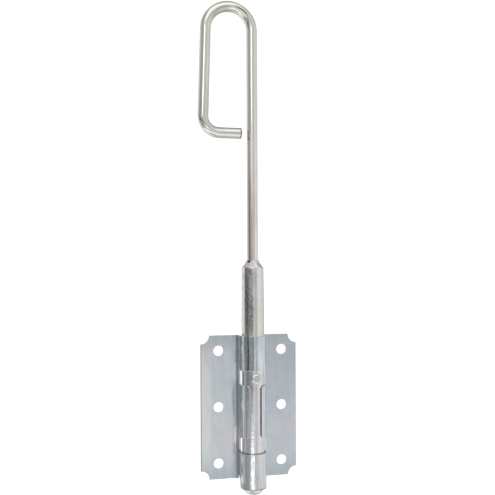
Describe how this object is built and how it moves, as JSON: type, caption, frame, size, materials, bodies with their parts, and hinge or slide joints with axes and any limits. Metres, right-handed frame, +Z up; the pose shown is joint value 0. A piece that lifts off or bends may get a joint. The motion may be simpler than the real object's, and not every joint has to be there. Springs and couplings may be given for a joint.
{
  "type": "espagnolette bolt",
  "caption": "Long-handled shoot bolt: a round bar slides and turns in a folded plate barrel with a bayonet slot, worked by a looped rod handle.",
  "frame": {"origin": "middle of the screw-hole pattern, on the plate's back face", "axes": "+Z up along the bolt towards the handle loop, +Y into the door, +X to the right seen from the front"},
  "size_m": [0.063, 0.0178, 0.2989],
  "materials": {
    "zinc_sheet": "bright zinc plate on rolled sheet, satin with a faint blue cast",
    "zinc_bar": "zinc plate on drawn bar, mottled along its length",
    "zinc_rod": "bright zinc plate on drawn rod, smooth"
  },
  "bodies": {
    "plate": {"mounting_plate": "zinc_sheet"},
    "bolt": {"bolt_bar": "zinc_bar"},
    "handle": {"handle_rod": "zinc_rod", "stop_lug": "zinc_bar"}
  },
  "joints": [
    {"name": "bolt_throw", "type": "slide", "parent": "plate", "child": "bolt", "axis": [0, 0, -1], "range_m": [0, 0.0407]},
    {"name": "handle_turn", "type": "hinge", "parent": "bolt", "child": "handle", "pos_m": [0, -0.0083, 0.0889], "axis": [0, 0, 1], "range_deg": [0, 90]}
  ]
}
